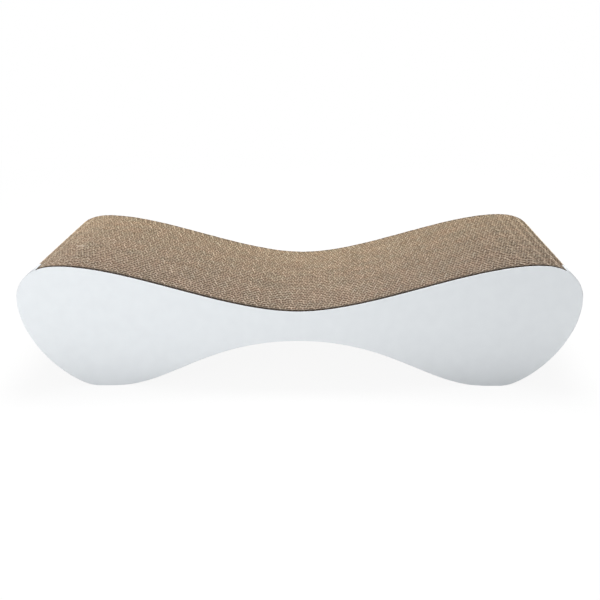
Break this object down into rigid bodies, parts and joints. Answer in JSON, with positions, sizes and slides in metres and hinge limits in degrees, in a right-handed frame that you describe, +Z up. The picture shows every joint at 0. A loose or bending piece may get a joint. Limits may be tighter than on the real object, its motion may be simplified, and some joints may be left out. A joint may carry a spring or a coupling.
{
  "type": "cardboard cat scratcher",
  "caption": "Low wave-shaped cat scratcher on two rounded feet: corrugated boards on edge, glued in a stack between white-faced panels.",
  "frame": {"origin": "on the floor, under the middle of the stack", "axes": "+X along the length, +Y from the front panel to the back panel (across the boards), +Z up along the flutes"},
  "size_m": [0.44, 0.199, 0.098],
  "materials": {
    "corrugated_board": "raw kraft paper, cut flutes open at the edge",
    "face_board": "matt white coated face on a brown-grey recycled core"
  },
  "bodies": {
    "root": {"front_panel": "face_board", "board_01": "corrugated_board", "board_02": "corrugated_board", "board_03": "corrugated_board", "board_04": "corrugated_board", "board_05": "corrugated_board", "board_06": "corrugated_board", "board_07": "corrugated_board", "board_08": "corrugated_board", "board_09": "corrugated_board", "board_10": "corrugated_board", "board_11": "corrugated_board", "board_12": "corrugated_board", "board_13": "corrugated_board", "board_14": "corrugated_board", "board_15": "corrugated_board", "board_16": "corrugated_board", "board_17": "corrugated_board", "board_18": "corrugated_board", "board_19": "corrugated_board", "board_20": "corrugated_board", "board_21": "corrugated_board", "board_22": "corrugated_board", "board_23": "corrugated_board", "board_24": "corrugated_board", "board_25": "corrugated_board", "board_26": "corrugated_board", "board_27": "corrugated_board", "board_28": "corrugated_board", "board_29": "corrugated_board", "board_30": "corrugated_board", "board_31": "corrugated_board", "board_32": "corrugated_board", "board_33": "corrugated_board", "board_34": "corrugated_board", "board_35": "corrugated_board", "board_36": "corrugated_board", "board_37": "corrugated_board", "board_38": "corrugated_board", "board_39": "corrugated_board", "back_panel": "face_board"}
  },
  "joints": []
}
